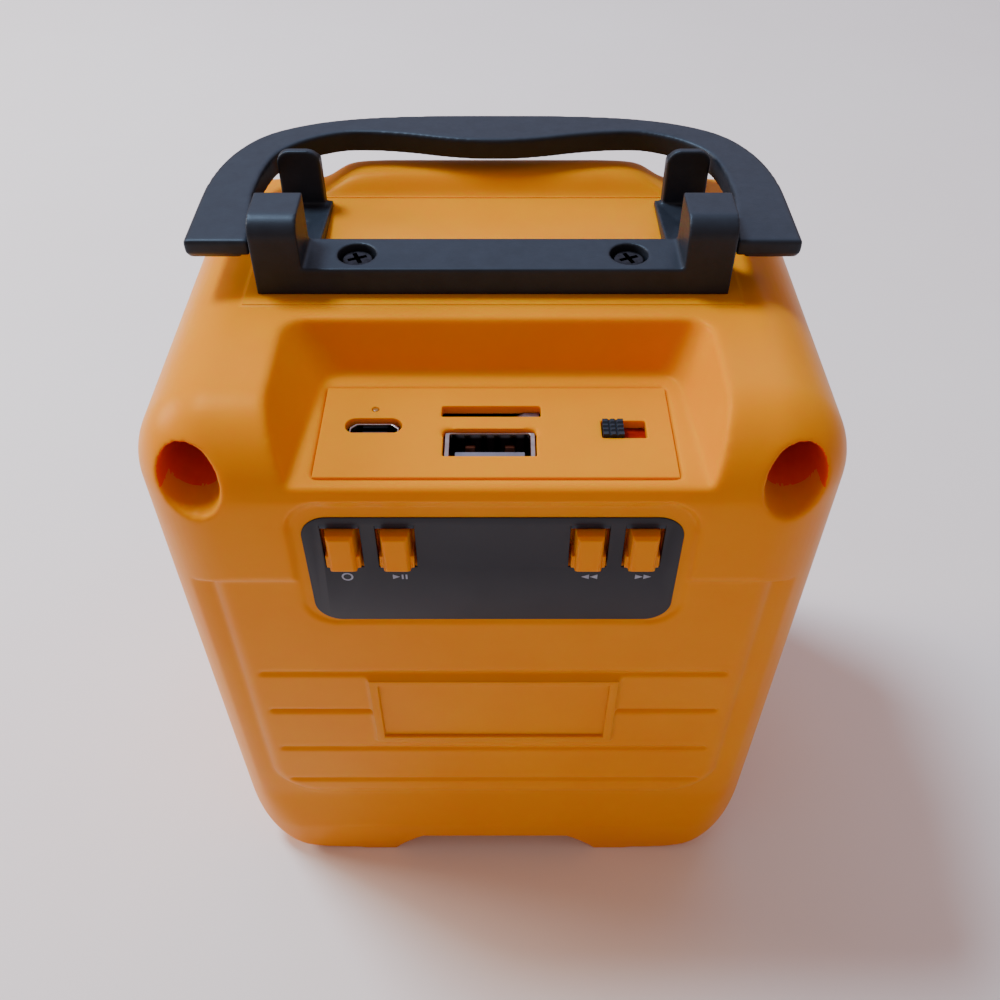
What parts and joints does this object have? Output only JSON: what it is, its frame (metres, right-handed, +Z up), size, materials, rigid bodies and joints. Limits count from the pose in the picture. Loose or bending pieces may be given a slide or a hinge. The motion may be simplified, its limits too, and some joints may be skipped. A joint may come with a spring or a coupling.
{
  "type": "bluetooth speaker",
  "caption": "Box speaker with a folding carry handle, a port recess in its rear top edge, a key panel, and a round grille on the far side.",
  "frame": {"origin": "middle of the base, on the surface it stands on", "axes": "+Z up; -Y is the control side with keys and ports; +Y is the speaker side; +X is right as seen from the control side"},
  "size_m": [0.106, 0.08, 0.1324],
  "materials": {
    "orange_abs": "satin moulded ABS",
    "black_abs": "satin moulded plastic",
    "key_panel_black": "printed satin sheet",
    "grille_steel": "perforated, powder coated",
    "black_steel": "blackened, pressed cross",
    "zinc_steel": "zinc plated",
    "basket_steel": "pressed, painted",
    "nickel_steel": "bright nickel",
    "circuit_board": "solder resist",
    "radio_board": "solder resist with a shield can",
    "chip_black": "moulded epoxy",
    "capacitor_can": "sleeved can",
    "white_nylon": "moulded nylon",
    "clear_resin": "clear moulded",
    "cell_sleeve": "shrink sleeve",
    "ferrite": "sintered",
    "rubber_black": "moulded",
    "cone_paper": "pressed paper"
  },
  "bodies": {
    "housing": {"rear_housing": "orange_abs", "front_housing": "orange_abs", "port_plate": "orange_abs", "grille_ring": "black_abs", "speaker_grille": "grille_steel", "handle_bracket": "black_abs", "bracket_screws": "black_steel", "key_panel": "key_panel_black", "key_board": "circuit_board", "press_switches": "black_abs", "usb_a_socket": "nickel_steel", "usb_a_tongue": "black_abs", "micro_usb_socket": "nickel_steel", "micro_usb_tongue": "black_abs", "card_socket": "nickel_steel", "switch_body": "nickel_steel", "charge_led": "clear_resin", "main_board": "circuit_board", "board_screws": "zinc_steel", "radio_module": "radio_board", "amplifier_chip": "chip_black", "capacitor": "capacitor_can", "lead_sockets": "white_nylon", "housing_screws": "zinc_steel", "battery_cell": "cell_sleeve", "battery_cradle": "black_abs", "driver_basket": "basket_steel", "driver_magnet": "ferrite", "speaker_surround": "rubber_black"},
    "handle": {"carry_handle": "black_abs"},
    "power_knob": {"switch_knob": "black_abs"},
    "mode_button": {"mode_key": "orange_abs"},
    "play_button": {"play_key": "orange_abs"},
    "previous_button": {"previous_key": "orange_abs"},
    "next_button": {"next_key": "orange_abs"},
    "cone": {"speaker_cone": "cone_paper"}
  },
  "joints": [
    {"name": "handle_hinge", "type": "hinge", "parent": "housing", "child": "handle", "pos_m": [0, 0.0001, 0.1266], "axis": [1, 0, 0], "range_deg": [0, 90]},
    {"name": "power_slide", "type": "slide", "parent": "housing", "child": "power_knob", "axis": [1, 0, 0], "range_m": [0, 0.0033]},
    {"name": "mode_press", "type": "slide", "parent": "housing", "child": "mode_button", "axis": [0, 1, 0], "range_m": [0, 0.0004], "stiffness_N_per_m": 300, "springref_m": -0.0005},
    {"name": "play_press", "type": "slide", "parent": "housing", "child": "play_button", "axis": [0, 1, 0], "range_m": [0, 0.0004], "stiffness_N_per_m": 300, "springref_m": -0.0005},
    {"name": "previous_press", "type": "slide", "parent": "housing", "child": "previous_button", "axis": [0, 1, 0], "range_m": [0, 0.0004], "stiffness_N_per_m": 300, "springref_m": -0.0005},
    {"name": "next_press", "type": "slide", "parent": "housing", "child": "next_button", "axis": [0, 1, 0], "range_m": [0, 0.0004], "stiffness_N_per_m": 300, "springref_m": -0.0005},
    {"name": "cone_travel", "type": "slide", "parent": "housing", "child": "cone", "axis": [0, 1, 0], "range_m": [-0.0015, 0.0015], "stiffness_N_per_m": 900, "deforming": ["speaker_surround"]}
  ]
}
